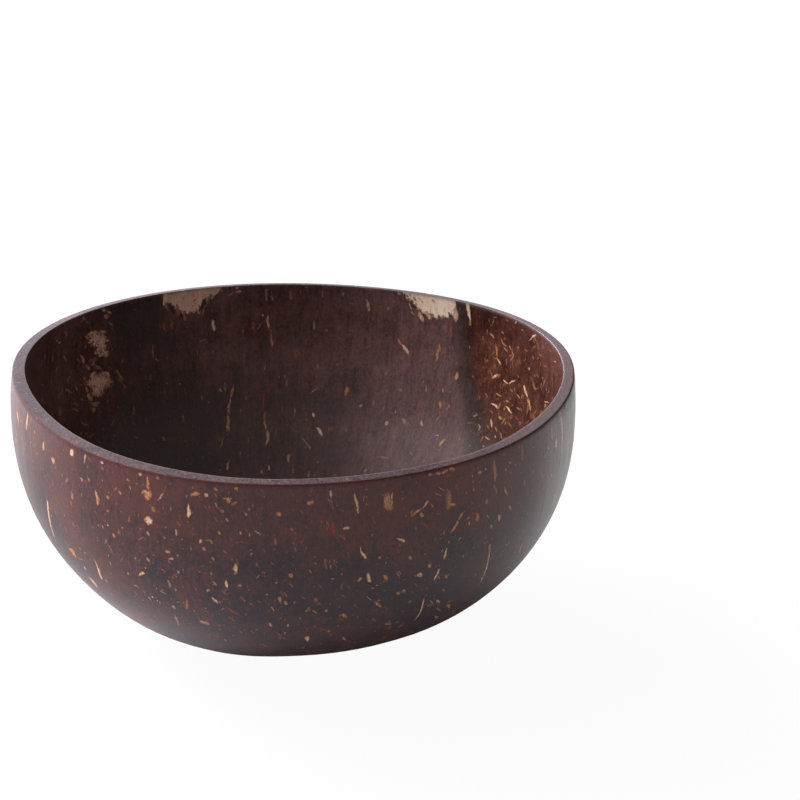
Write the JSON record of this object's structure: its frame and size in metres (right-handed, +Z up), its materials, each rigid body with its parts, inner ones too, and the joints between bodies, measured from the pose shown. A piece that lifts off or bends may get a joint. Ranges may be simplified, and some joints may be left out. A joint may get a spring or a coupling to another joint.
{
  "type": "coconut shell bowl",
  "caption": "Open round bowl cut from a natural coconut shell, with a level rim and a small sanded flat underneath, for serving food.",
  "frame": {"origin": "middle of the bowl's bounding box in plan, at the height of the base flat it stands on", "axes": "+Z up out of the open mouth, -Y towards the front of the picture"},
  "size_m": [0.1348, 0.1342, 0.0615],
  "materials": {
    "shell": "satin dark brown coconut shell, oiled"
  },
  "bodies": {
    "root": {"shell": "shell"}
  },
  "joints": []
}
